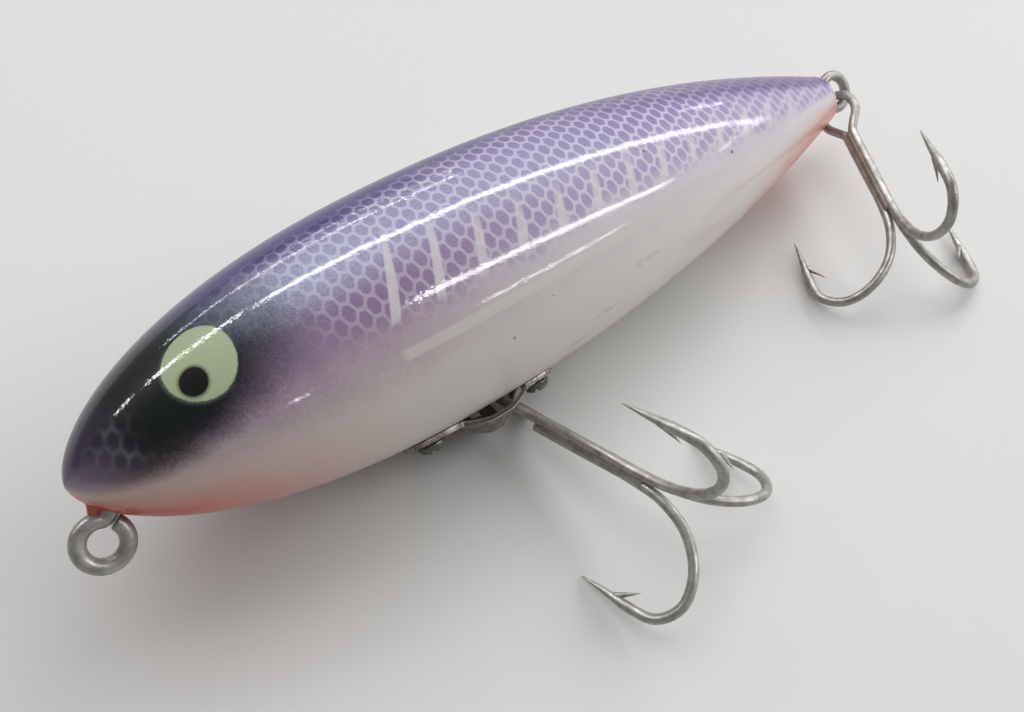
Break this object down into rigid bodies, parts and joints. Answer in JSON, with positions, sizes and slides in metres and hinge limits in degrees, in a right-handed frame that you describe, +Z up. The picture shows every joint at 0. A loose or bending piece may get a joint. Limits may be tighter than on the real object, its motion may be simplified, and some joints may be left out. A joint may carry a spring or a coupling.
{
  "type": "fishing lure",
  "caption": "Turned wooden minnow lure with painted scale netting, wire line tie, belly hook hanger and treble hooks, lying on its side.",
  "frame": {"origin": "on the table, under the middle of the lying lure's bounding box", "axes": "+X from nose to tail along the body, +Z up from the table, the hooks lie towards -Y"},
  "size_m": [0.1168, 0.0566, 0.0289],
  "materials": {
    "painted_wood": "gloss clear coat over pearl and purple paint",
    "eye_wire": "dull tinned wire",
    "hanger_sheet": "dull pressed sheet with bright cut edges",
    "screw_steel": "dull, darkened in the slots",
    "hook_wire": "aged tinned wire, brownish where brazed"
  },
  "bodies": {
    "root": {"body": "painted_wood", "nose_screw_eye": "eye_wire", "tail_screw_eye": "eye_wire", "hook_hanger": "hanger_sheet", "hanger_screw_front": "screw_steel", "hanger_screw_rear": "screw_steel", "belly_treble_hook": "hook_wire", "tail_treble_hook": "hook_wire"}
  },
  "joints": []
}
